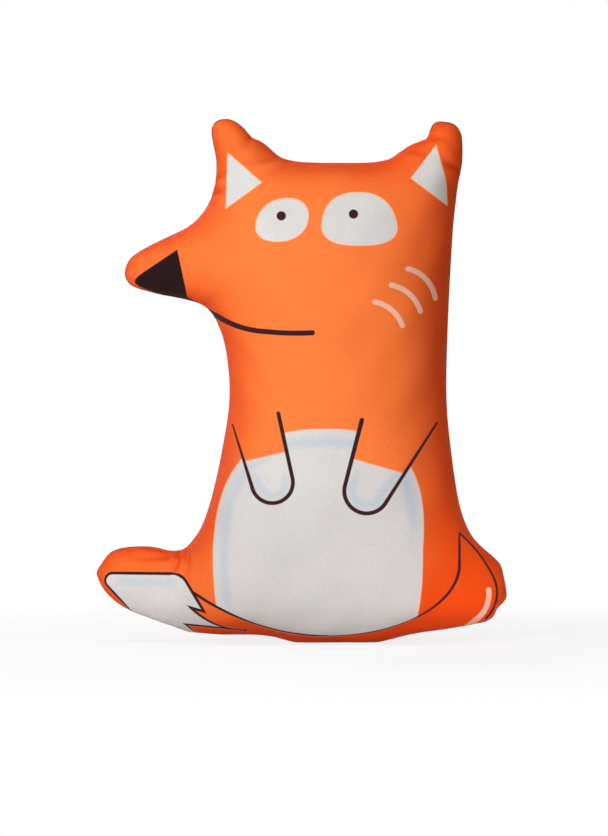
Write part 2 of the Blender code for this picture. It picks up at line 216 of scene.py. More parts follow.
class FoxStudioSettings(bpy.types.PropertyGroup):
    """The camera and the lamps"""

    camera_distance: metres("Camera distance", "From the toy's middle", 2.6)
    picture_height: metres("Picture height", "What the picture takes in", 0.5593)
    camera_height: metres("Camera height", "Above the floor", 0.1498)
    camera_aside: metres("Camera aside", "To the right of the toy's middle", 0.0016)
    key: watts("Key lamp", "Power of the main lamp", 34.2)
    low: watts("Low lamp", "Power of the low narrow lamp", 0.05)
    low_spread: angle("Low lamp's beam", "Its angle", math.radians(9.0))
    fill: watts("Fill lamp", "Power of the fill lamp", 0.5)
    top: watts("Top lamp", "Power of the overhead lamp", 14.5)
    back: watts("Back lamp", "Power of the lamp behind", 24.0)
    ambient: ratio("Room light", "Strength of the light all round", 0.17)


def course(step):
    """Points every step or less along the closed smooth curve of the seam."""
    corners = np.array(SEAM_COURSE) * MM
    low, high = corners.min(0), corners.max(0)
    middle = (FRONT_BOX[0].x + FRONT_BOX[1].x) / 2
    corners[:, 0] = middle + (corners[:, 0] - (low[0] + high[0]) / 2) * TOY_WIDTH / (high[0] - low[0])
    corners[:, 1] *= TOY_HEIGHT / high[1]
    made = []
    count = len(corners)
    for i in range(count):
        before, start, end, after = (corners[(i + k) % count] for k in (-1, 0, 1, 2))
        spans = [np.sqrt(norm(b - a)) for a, b in ((before, start), (start, end), (end, after))]
        first, span, last = spans
        leave = (start - before) / first - (end - before) / (first + span) + (end - start) / span
        arrive = (end - start) / span - (after - start) / (span + last) + (after - end) / last
        leave, arrive = leave * span, arrive * span
        steps = max(1, int(np.ceil(norm(end - start) / step)))
        for t in np.arange(steps) / steps:
            made.append(
                (2 * t**3 - 3 * t**2 + 1) * start
                + (t**3 - 2 * t**2 + t) * leave
                + (3 * t**2 - 2 * t**3) * end
                + (t**3 - t**2) * arrive
            )
    return np.array(made)


def distance_to(points, loop):
    """How far each point is from a closed polyline."""
    along = np.roll(loop, -1, axis=0) - loop
    offset = points[:, None] - loop[None]
    share = np.clip((offset * along).sum(2) / (along**2).sum(1), 0, 1)
    return norm(offset - share[..., None] * along, axis=2).min(1)


def within(points, loop):
    """Whether each point lies inside a closed polyline."""
    ends = np.roll(loop, -1, axis=0)
    x, z = points[:, 0, None], points[:, 1, None]
    spans = (loop[:, 1] > z) != (ends[:, 1] > z)
    rise = np.where(ends[:, 1] == loop[:, 1], 1.0, ends[:, 1] - loop[:, 1])
    crossing = loop[:, 0] + (z - loop[:, 1]) / rise * (ends[:, 0] - loop[:, 0])
    return (spans & (x < crossing)).sum(1) % 2 == 1


def well_inside(points, loop, least):
    """The points that lie inside a closed polyline, further from it than least."""
    points = points[within(points, loop)]
    return points[distance_to(points, loop) > least]


def outward(loop):
    """Outward unit normals of an anticlockwise closed polyline."""
    along = np.roll(loop, -1, axis=0) - np.roll(loop, 1, axis=0)
    out = np.stack([along[:, 1], -along[:, 0]], axis=1)
    return unit(out)


def crossed(points, triangles):
    """Each triangle's normal, twice its area long: one number in a plane, a vector in space."""
    first, second, third = (points[triangles[:, k]] for k in range(3))
    return np.cross(second - first, third - first)


def vectors_of(data, name):
    """A mesh's vectors of this name, as rows."""
    made = np.empty(len(data) * 3)
    data.foreach_get(name, made)
    return made.reshape(-1, 3)


def unit(vectors):
    return vectors / norm(vectors, axis=1, keepdims=True)


def clear_of(point, others, room):
    """Whether a point is further than room from all the others."""
    return not len(others) or norm(np.asarray(others) - point, axis=1).min() > room


def crease_lines():
    """Each crease's start, direction, length, width and depth, in metres."""
    for start, end, width, depth in CREASES:
        start, end = np.array(start) * MM, np.array(end) * MM
        length = norm(end - start)
        yield start, (end - start) / length, length, width * MM, depth * MM


class Form:
    """The filled toy's skin, front and back: the seam's points first, then the loop next to it.

    ring is the seam with its first point again at the end, and lengths is how far along each is.
    """

    def __init__(self, cover):
        self.loop = loop = course(cover.edge_step)
        self.held = len(loop)
        self.ring = np.vstack([loop, loop[:1]])
        self.lengths = np.concatenate([[0], np.cumsum(norm(np.diff(self.ring, axis=0), axis=1))])
        self.lay_out(cover)
        self.raise_membrane()
        self.front = self.points.copy()
        self.back = self.points * (1, -1, 1)
        self.fill(cover)
        self.front_normals = self.normals(self.front, self.triangles)
        self.back_normals = self.normals(self.back, self.triangles[:, ::-1])

    def lay_out(self, cover):
        """Triangles of one panel in the seam's plane."""
        loop, step = self.loop, cover.skin_step
        normals = outward(loop)
        self.inner = loop - cover.first_row * normals
        points = [*loop, *self.inner]
        for inset, share in SEAM_ROWS:
            placed, kept = np.array(points), []
            for p in well_inside(loop - inset * normals, loop, 0.9 * inset):
                if clear_of(p, placed, ROOM_SHARE * inset) and clear_of(p, kept, share * cover.edge_step):
                    kept.append(p)
            points += kept
        folds = self.fold_points(loop)
        points += list(folds)
        low, high = loop.min(0), loop.max(0)
        rows = np.arange(low[1], high[1], step * math.sqrt(3) / 2)
        columns = np.arange(low[0], high[0], step)
        grid = np.array([(x + (i % 2) * step / 2, z) for i, z in enumerate(rows) for x in columns])
        grid = well_inside(grid, loop, SEAM_ROWS[-1][0] + ROOM_SHARE * step)
        spacing = norm(grid[:, None] - folds[None], axis=2).min(1)
        points += list(grid[spacing > ROOM_SHARE * step])
        edges = [(s + i, s + (i + 1) % self.held) for s in (0, self.held) for i in range(self.held)]
        found = delaunay_2d_cdt([Vector(p) for p in points], edges, [], 1, 1e-8)
        flat = np.array([tuple(v) for v in found[0]])
        triangles = np.array(found[2])
        turned = crossed(flat, triangles) < 0
        triangles[turned] = triangles[turned][:, ::-1]
        self.flat, self.triangles = flat, triangles
        self.deep = within(flat[triangles].mean(1), self.inner)
        held, count = self.held, len(flat)
        self.other = np.concatenate([np.arange(held), np.arange(count, 2 * count - held)])
        self.closed = np.concatenate([triangles, self.other[triangles][:, ::-1]])

    def fold_points(self, loop):
        """Closer points along each crease, on its bottom and on the folds beside it."""
        made = []
        for start, way, length, width, _ in crease_lines():
            aside = np.array([way[1], -way[0]]) * width
            for along in np.arange(0.0, length, FOLD_STEP):
                for row in FOLD_ROWS:
                    point = start + way * along + aside * row
                    if clear_of(point, made, FOLD_ROOM):
                        made.append(point)
        return well_inside(np.array(made), loop, FOLD_TO_SEAM)

    def raise_membrane(self):
        """A membrane blown up from the panel, held at the seam, by conjugate gradients."""
        flat, triangles, count = self.flat, self.triangles, len(self.flat)
        starts, ends, weights, load = [], [], [], np.zeros(count)
        for turn in range(3):
            apex, left, right = (triangles[:, (turn + k) % 3] for k in range(3))
            to_left, to_right = flat[left] - flat[apex], flat[right] - flat[apex]
            twice_area = np.cross(to_left, to_right)
            starts.append(left)
            ends.append(right)
            weights.append((to_left * to_right).sum(1) / twice_area / 2)
            load += np.bincount(apex, twice_area / 6, count)
        start, end, weight = (np.concatenate(x) for x in (starts, ends, weights))
        diagonal = np.bincount(start, weight, count) + np.bincount(end, weight, count)
        free = np.arange(count) >= self.held

        def pull(u):
            flow = weight * (u[start] - u[end])
            return (np.bincount(start, flow, count) - np.bincount(end, flow, count)) * free

        most_rounds, tolerance = 2000, 1e-12
        height = np.zeros(count)
        rest = load * free
        aim = rest / diagonal
        way = aim.copy()
        strength = rest @ aim
        for _ in range(most_rounds):
            pulled = pull(way)
            share = strength / (way @ pulled)
            height += share * way
            rest -= share * pulled
            if np.abs(rest).max() < tolerance * np.abs(load).max():
                break
            aim = rest / diagonal
            fresh = rest @ aim
            way = aim + fresh / strength * way
            strength = fresh
        swell = np.sqrt(np.maximum(height, 0))
        half_depth = swell * HALF_DEPTH / swell.max()
        self.points = np.stack([flat[:, 0], -half_depth, flat[:, 1]], axis=1)

    def fill(self, cover):
        """Pressure inside the closed skin, with the seam held still."""
        rest = np.concatenate([self.front, self.back[self.held :]])
        skin = new_piece("cover_being_filled", rest * (1, cover.start_depth, 1), self.closed)
        skin.vertex_groups.new(name="seam").add(list(range(self.held)), 1.0, "REPLACE")
        cloth = skin.modifiers.new("filling", "CLOTH")
        given = {"uniform_pressure_force": cover.pressure, "shrink_min": -cover.slack}
        for name, value in (CLOTH | given).items():
            setattr(cloth.settings, name, value)
        cloth.settings.effector_weights.gravity = 0
        cloth.point_cache.frame_start, cloth.point_cache.frame_end = 1, cover.frames
        scene = bpy.context.scene
        for number in range(1, cover.frames + 1):
            scene.frame_set(number)
        shaped = skin.evaluated_get(bpy.context.evaluated_depsgraph_get())
        move = vectors_of(shaped.data.vertices, "co") - rest
        bpy.data.meshes.remove(skin.data)
        scene.frame_set(1)
        length = norm(move, axis=1, keepdims=True)
        move *= np.minimum(1, cover.most_move / np.maximum(length, 1e-9))
        filled = rest + move
        filled[:, 1] *= HALF_DEPTH / np.abs(filled[:, 1]).max()
        self.front, self.back = filled[: len(self.points)], filled[self.other]

    def normals(self, points, triangles):
        """Outward unit normals, lying in the seam's plane at the seam."""
        made, faces = np.zeros_like(points), crossed(points, triangles)
        for corner in triangles.T:
            np.add.at(made, corner, faces)
        made[: self.held, 1] = 0
        return unit(made)


def form():
    """The filled form, worked out once."""
    if not hasattr(form, "made"):
        form.made = Form(bpy.context.scene.fox_cover)
    return form.made


def new_object(name, data):
    made = bpy.data.objects.new(name, data)
    bpy.context.scene.collection.objects.link(made)
    return made


def new_piece(name, points, faces, material=None, smooth=True):
    mesh = bpy.data.meshes.new(name)
    mesh.from_pydata(np.asarray(points).tolist(), [], [tuple(int(i) for i in f) for f in faces])
    if material:
        mesh.materials.append(material)
    if smooth:
        mesh.shade_smooth()
    return new_object(name, mesh)


def apply_modifiers(piece):
    """Leaves the piece with the mesh that its modifiers make."""
    shaped = piece.evaluated_get(bpy.context.evaluated_depsgraph_get())
    mesh = bpy.data.meshes.new_from_object(shaped)
    old = piece.data
    piece.modifiers.clear()
    piece.data = mesh
    name = old.name
    bpy.data.meshes.remove(old)
    mesh.name = name


def crease_depth(x, z):
    """How deep the creases are at a place of the panel, in metres, with the fold beside each.

    Each bows aside and widens on its way, and its folds lie about two widths to each side.
    """
    bow, widening, fold_height, fold_place, fold_width = 0.06, 0.7, 0.55, 2.1, 1.3
    depth = np.zeros(len(x))
    for start, way, length, width, deep in crease_lines():
        across, up = x - start[0], z - start[1]
        share = (across * way[0] + up * way[1]) / length
        passed = np.clip(share, 0, 1)
        aside = across * way[1] - up * way[0] + bow * length * np.sin(np.pi * passed)
        spread = width * (1 + widening * passed)
        beyond = np.abs(share - passed) * length
        fade = np.clip(1.05 - share, 0, 1) ** 0.8 * np.exp(-((beyond / width) ** 2))
        valley = np.exp(-((aside / spread) ** 2))
        off_fold = (np.abs(aside) - fold_place * spread) / (fold_width * spread)
        fold = fold_height * np.exp(-(off_fold**2))
        depth += deep * fade * (valley - fold)
    return depth


def soft_lumps(points):
    """Even soft lumps, about 1 high at most."""
    total = np.zeros(len(points))
    for way, wave, phase in (
        ((0.9, 0.3, 0.4), 0.061, 0.4),
        ((-0.4, 0.5, 0.8), 0.047, 2.1),
        ((0.2, -0.7, 0.9), 0.036, 4.0),
        ((0.8, 0.2, -0.6), 0.029, 1.2),
        ((0.1, 0.9, 0.5), 0.053, 5.3),
    ):
        total += np.sin(points @ (np.array(way) * 2 * np.pi / wave) + phase)
    return total / 3


def smooth_step(value, low, high):
    t = np.clip((value - low) / (high - low), 0, 1)
    return t * t * (3 - 2 * t)


def place_on_seam(points, reach):
    """For each point, the length along the seam to the nearest place on it. Points beyond reach give 0."""
    shape = form()
    tree = KDTree(shape.held)
    for i, (x, z) in enumerate(shape.loop):
        tree.insert((x, 0, z), i)
    tree.balance()
    made = np.zeros(len(points))
    for i in np.nonzero(np.abs(points[:, 1]) < reach)[0]:
        co, index, _ = tree.find((points[i, 0], 0, points[i, 2]))
        after = shape.ring[index + 1] - shape.ring[index]
        offset = points[i, [0, 2]] - shape.ring[index]
        made[i] = shape.lengths[index] + offset @ after / norm(after)
    return made


def shape_skin(piece, side):
    """Creases, lumps and the seam's gathers, along the outward direction stored with each point."""
    cover = bpy.context.scene.fox_cover
    mesh = piece.data
    points = vectors_of(mesh.vertices, "co")
    out = unit(vectors_of(mesh.attributes["outward"].data, "vector"))
    seam_distance = np.abs(points[:, 1])
    depth = (1.0 if side < 0 else BACK_STRENGTH) * crease_depth(points[:, 0], points[:, 2])
    valley = depth * (0.12 + 0.88 * smooth_step(seam_distance, *CREASE_GROWS))
    shift = -np.where(depth > 0, valley, depth * smooth_step(seam_distance, *RIDGE_GROWS))
    shift += cover.lump * soft_lumps(points) * smooth_step(seam_distance, *LUMP_GROWS)
    wave = place_on_seam(points, reach=0.02) / cover.pucker_pitch * 2 * np.pi
    gather = 0.5 + 0.5 * np.cos(wave + 1.1 * np.sin(wave / 3.7) + (0.0 if side < 0 else 0.6))
    uneven = 0.65 + 0.35 * np.sin(wave / 5.3 + 1.0)
    near_seam = np.exp(-seam_distance / GATHER_REACH) * smooth_step(seam_distance, *GATHER_GROWS)
    shift -= cover.pucker * gather * uneven * near_seam
    points += shift[:, None] * out
    points[:, 2] = np.maximum(points[:, 2], 0)
    mesh.vertices.foreach_set("co", points.ravel())
    mesh.attributes.remove(mesh.attributes["outward"])
    mesh.update()


def cover_panel(name, side, material):
    """One panel as a closed body: its skin, its lining side and the edge turned inside at the seam."""
    cover, shape = bpy.context.scene.fox_cover, form()
    held = shape.held
    skin = (shape.front if side < 0 else shape.back).copy()
    out = shape.front_normals if side < 0 else shape.back_normals
    half_gap = cover.seam_gap / 2
    rim, nearby = skin[:held].copy(), skin[held : 2 * held]
    rows, row_out = [rim], [out[:held]]
    for t in RIM_SHARES:
        rows.append(rim + (nearby - rim) * np.array([t**2, t, t**2]))
        row_out.append(unit(out[:held] * (1 - t) + out[held : 2 * held] * t))
    outer = np.concatenate([*rows, skin[held:]])
    outer_out = np.concatenate([*row_out, out[held:]])
    shift = (len(rows) - 1) * held
    outer[:, 1] += side * half_gap
    inner = outer - cover.fabric * outer_out
    inner[:held, 1] = side * (half_gap + cover.fabric)
    turned = [
        (rim - inset * cover.seam_allowance * out[:held]) * (1, 0, 1) + (0, side * (half_gap + deep), 0)
        for inset, deep in ((0.3, 0.0), (1.0, 0.0), (1.0, cover.fabric))
    ]
    points = np.concatenate([outer, inner, *turned])
    directions = np.concatenate([outer_out, outer_out, np.tile(out[:held], (3, 1))])
    count = len(outer)
    triangles = shape.triangles[shape.deep] + shift
    faces = [tuple(t) for t in triangles] + [tuple(count + t[::-1]) for t in triangles]
    chain = [0, 2 * count, 2 * count + held, 2 * count + 2 * held, count]
    for i in range(held):
        j = (i + 1) % held
        for a in range(0, len(rows) * held, held):
            b = a + held
            faces.append((a + i, b + i, b + j, a + j))
            faces.append((count + a + j, count + b + j, count + b + i, count + a + i))
        for a, b in zip(chain, chain[1:]):
            faces.append((a + j, b + j, b + i, a + i))
    turned_over = 4 if side < 0 else 3
    faces = [f[::-1] if len(f) == turned_over else f for f in faces]
    piece = new_piece(name, points, faces, material)
    store = piece.data.attributes.new("outward", "FLOAT_VECTOR", "POINT")
    store.data.foreach_set("vector", directions.ravel().astype(np.float32))
    finer = piece.modifiers.new("finer", "SUBSURF")
    finer.levels = finer.render_levels = 1
    apply_modifiers(piece)
    shape_skin(piece, side)
    return piece


def arithmetic(operation):
    """An operator's two methods: for the number on its left and for the one on its right."""
    return (
        lambda self, other: self.finish.maths(operation, self, other),
        lambda self, other: self.finish.maths(operation, other, self),
    )


class Shade:
    """A number that changes over the cloth. Arithmetic on it adds Math nodes."""

    def __init__(self, finish, socket):
        self.finish, self.socket = finish, socket

    __add__, __radd__ = arithmetic("ADD")
    __sub__, __rsub__ = arithmetic("SUBTRACT")
    __mul__, __rmul__ = arithmetic("MULTIPLY")
    __truediv__, __rtruediv__ = arithmetic("DIVIDE")
    __pow__, __rpow__ = arithmetic("POWER")

    def __neg__(self):
        return self * -1.0

    def __abs__(self):
        return self.finish.maths("ABSOLUTE", self)


class Finish:
    """The nodes of a material or world, whose one shader takes what is made here."""

    def __init__(self, owner):
        owner.use_nodes = True
        self.owner = owner
        self.tree = owner.node_tree
        self.shader = self.tree.nodes[0] if self.tree.nodes[0].outputs else self.tree.nodes[1]

    def feed(self, socket, value):
        if isinstance(value, Shade):
            self.tree.links.new(value.socket, socket)
        else:
            socket.default_value = value

    def put(self, name, value):
        """Gives the shader's socket of this name a number, a colour or a link."""
        self.feed(self.shader.inputs[name], value)

    def relief(self, height, strength, distance):
        """A bump on the shader's normal."""
        inputs = {"Strength": strength, "Distance": distance, "Height": height}
        self.put("Normal", self.add("ShaderNodeBump", None, inputs))

    def add(self, kind, settings=None, inputs=None, output=0):
        """The chosen output of a new node with these settings and inputs."""
        node = self.tree.nodes.new(kind)
        for name, value in (settings or {}).items():
            setattr(node, name, value)
        for place, value in (inputs or {}).items():
            self.feed(node.inputs[place], value)
        return Shade(self, node.outputs[output])

    def maths(self, operation, *values):
        return self.add("ShaderNodeMath", {"operation": operation}, dict(enumerate(values)))

    def least(self, *values):
        return reduce(lambda first, other: self.maths("MINIMUM", first, other), values)

    def most(self, *values):
        return reduce(lambda first, other: self.maths("MAXIMUM", first, other), values)

    def step(self, value, low, high):
        """0 below low, 1 above high, and smooth between. It falls where low is the larger."""
        ends = (high, low, 1.0, 0.0) if low > high else (low, high, 0.0, 1.0)
        smooth = {"interpolation_type": "SMOOTHSTEP"}
        return self.add("ShaderNodeMapRange", smooth, dict(enumerate((value, *ends))))

    def mix(self, factor, first, second):
        """A colour between two."""
        full = [c if isinstance(c, Shade) else (*c, 1.0)[:4] for c in (first, second)]
        return self.add("ShaderNodeMix", {"data_type": "RGBA"}, {0: factor, 6: full[0], 7: full[1]}, 2)

    def noise(self, vector, scale, detail):
        return self.add("ShaderNodeTexNoise", None, {"Vector": vector, "Scale": scale, "Detail": detail})

    def parts(self, vector):
        """The three numbers of a vector."""
        return [self.add("ShaderNodeSeparateXYZ", None, {0: vector}, n) for n in range(3)]

    def coordinates(self, output):
        return self.add("ShaderNodeTexCoord", None, None, output)


def material_finish(name):
    return Finish(bpy.data.materials.new(name))


class Drawing:
    """Shapes on the front in millimetres, across and up. Each gives the distance beyond its edge."""

    def __init__(self, finish, x, z, facing):
        self.f, self.x, self.z, self.facing = finish, x, z, facing

    def length(self, across, up):
        return self.f.maths("SQRT", across * across + up * up)

    def disc(self, centre, radius):
        return self.length(self.x - centre[0], self.z - centre[1]) - radius

    def egg(self, centre, half, lean=0.0, heavy=0.0, power=2.0):
        """An oval that leans to one side, is wider low down, and squarer the higher its power."""
        up = (self.z - centre[1]) / half[1]
        across = (self.x - centre[0] - lean * up * half[0]) / (half[0] * (1 - heavy * up))
        if power == 2.0:
            size = self.length(across, up)
        else:
            size = (abs(across) ** power + abs(up) ** power) ** (1 / power)
        return (size - 1) * min(half)

    def edge(self, start, end):
        """The far side of a straight edge: beyond is to the right of start to end."""
        way, far = straight_edge(start, end)
        return self.x * way[0] + self.z * way[1] - far

    def corner(self, first, second, radius):
        """Where two straight edges, each a start and an end, meet in a round corner."""
        (first_way, first_far), (second_way, second_far) = straight_edge(*first), straight_edge(*second)
        centre = solve([first_way, second_way], [first_far - radius, second_far - radius])
        out = unit(np.array([first_way + second_way]))[0]
        touch = centre @ out + radius * (first_way @ out)
        cut = self.x * out[0] + self.z * out[1] - touch
        straight = self.f.most(self.edge(*first), self.edge(*second), cut)
        return self.f.least(straight, self.disc(centre, radius))

    def wedge(self, corners, rounding):
        """A polygon that bulges everywhere, given anticlockwise, with rounded corners."""
        sides = (self.edge(start, end) for start, end in zip(corners, corners[1:] + corners[:1]))
        return reduce(lambda made, side: self.f.maths("SMOOTH_MAX", made, side, rounding), sides)

    def bar(self, start, end, first=0.0, last=0.0):
        """A straight bar with round ends, as thick at its ends as these radii."""
        way = np.array(end, float) - start
        part = way / (way @ way)
        across, up = self.x - start[0], self.z - start[1]
        share = self.f.add("ShaderNodeClamp", None, {0: across * part[0] + up * part[1], 1: 0.0, 2: 1.0})
        size = self.length(across - share * way[0], up - share * way[1])
        return size - (share * (last - first) + first)

    def arc(self, start, middle, end):
        """A circle's arc through three points, with round ends."""
        centre, radius = arc_centre(start, middle, end)
        first, last, inside = (np.subtract(p, centre) / radius for p in (start, end, middle))
        mid_way = (first + last) / norm(first + last)
        mid_way *= np.sign(mid_way @ inside)
        across, up = self.x - centre[0], self.z - centre[1]
        out = self.length(across, up)
        turned = across * mid_way[0] + up * mid_way[1] - out * (first @ mid_way)
        on_arc = self.f.maths("GREATER_THAN", turned, 0.0)
        ends = self.f.least(self.disc(start, 0.0), self.disc(end, 0.0))
        return ends + (abs(out - radius) - ends) * on_arc

    def curve(self, start, middle, joint, next_middle, end):
        """Two arcs end to end."""
        return self.f.least(self.arc(start, middle, joint), self.arc(joint, next_middle, end))

    def hook(self, start, turn, low, rise, end, thick):
        """Down beside an arm, round its paw and up again, as thick as these at start, turn and end."""
        first, middle, last = thick
        sides = self.bar(start, turn, first, middle), self.bar(rise, end, middle, last)
        return self.f.least(*sides, self.arc(turn, low, rise) - middle)

    def oval_line(self, centre, half):
        """The distance beyond the lower half of an upright oval, whose ends go straight up."""
        size = self.length((self.x - centre[0]) / half[0], self.f.least(self.z - centre[1], 0.0) / half[1])
        return (size - 1) * ((half[0] + half[1]) / 2)

    def stroke(self, distance, width):
        """A pen line: thinner where the cloth turns away, as its print is seen at a slant."""
        return distance - self.facing * (width / 2)


def straight_edge(start, end):
    """The unit direction to the right of start to end, and how far along it the edge lies."""
    along = np.array(end, float) - start
    along /= norm(along)
    right = np.array([along[1], -along[0]])
    return right, right @ start


def arc_centre(start, middle, end):
    """The middle and radius of the circle through three points."""
    ways = np.subtract((middle, end), start)
    way = solve(2 * ways, (ways**2).sum(1))
    return start + way, norm(way)


def knit_height(finish, u, v):
    """The height of stretch knit's loops over two directions in millimetres: ribs of small chevrons."""
    rib = finish.maths("PINGPONG", u, HALF_RIB)
    row = finish.maths("COSINE", (v + rib * 0.9) * (2 * math.pi / KNIT_ROW))
    return finish.maths("SINE", rib * (math.pi / HALF_RIB)) * (row * 0.3 + 0.7)


class Knit:
    """What both covers share: places on the toy, the knit's relief, its small unevenness and its painted
    shade.
    """

    def __init__(self, name):
        self.finish = f = material_finish(name)
        self.place = f.coordinates(3)
        self.x, self.y, self.z = (part * 1000.0 for part in f.parts(self.place))
        normal = f.parts(f.coordinates(1))
        self.across, self.facing, self.up = (abs(part) for part in normal)

    def orange(self):
        """The dyed knit: paler where it is stretched over the filling, deeper towards the seam; the deeper
        colour on the sides is partly painted shade, and to the right and low down it is painted shade.
        """
        f, colours = self.finish, bpy.context.scene.fox_colours
        # Facing the front or back keeps it pale, partly from stretch and partly as painted light; the sides
        # turned away get painted shade
        stretch_and_shade = self.facing * 0.66 + abs(self.y) * (0.36 / (HALF_DEPTH / MM))
        # Painted shade: deeper orange low down, more so to the right
        low_painted_shade = f.step(self.z, 130.0, 30.0) * (f.step(self.x, -40.0, 60.0) * 0.24 + 0.12)
        # Painted shade: deeper orange towards the right, the side away from the key lamp
        stretch_and_shade = stretch_and_shade - f.most(self.x - 20.0, 0.0) * 0.0030 - low_painted_shade
        return f.mix(f.step(stretch_and_shade, 0.10, 0.98), colours.deep_orange, colours.orange)

    def finish_cloth(self, colour):
        """Puts the colour, the mottle, a slight painted shade low down in the middle and the relief on the
        shader.
        """
        f = self.finish
        flecks = f.noise(self.place, 620.0, 2.0)
        clouds = f.noise(self.place, 38.0, 2.0)
        # Painted shade: the cloth is darker low down in the middle, where less light falls
        low_middle_shade = f.step(self.z, 140.0, 70.0) * f.step(abs(self.x - 5.0), 105.0, 75.0)
        tone = (flecks - 0.5) * 0.16 + (clouds - 0.5) * 0.10 + 1.0 - low_middle_shade * 0.09
        scale = {"operation": "SCALE"}
        f.put("Base Color", f.add("ShaderNodeVectorMath", scale, {0: colour, "Scale": tone}))
        f.put("Roughness", (clouds - 0.5) * 0.12 + 0.66)
        front = knit_height(f, self.x, self.z)
        side = knit_height(f, self.y, self.z)
        above = knit_height(f, self.x, self.y)
        is_side = f.step(self.across - self.facing, -0.12, 0.12)
        is_above = f.step(self.up - f.most(self.across, self.facing), -0.12, 0.12)
        height = front + (side - front) * is_side
        height = height + (above - height) * is_above
        f.relief(height + f.noise(self.place, 2600.0, 1.0) * 0.35, 0.55, 0.00016)
        f.put("Sheen Weight", 0.025)
        f.put("Sheen Roughness", 0.5)
        f.put("Sheen Tint", (1.0, 0.45, 0.25, 1.0))
        f.put("Specular IOR Level", 0.02)
        return f.owner


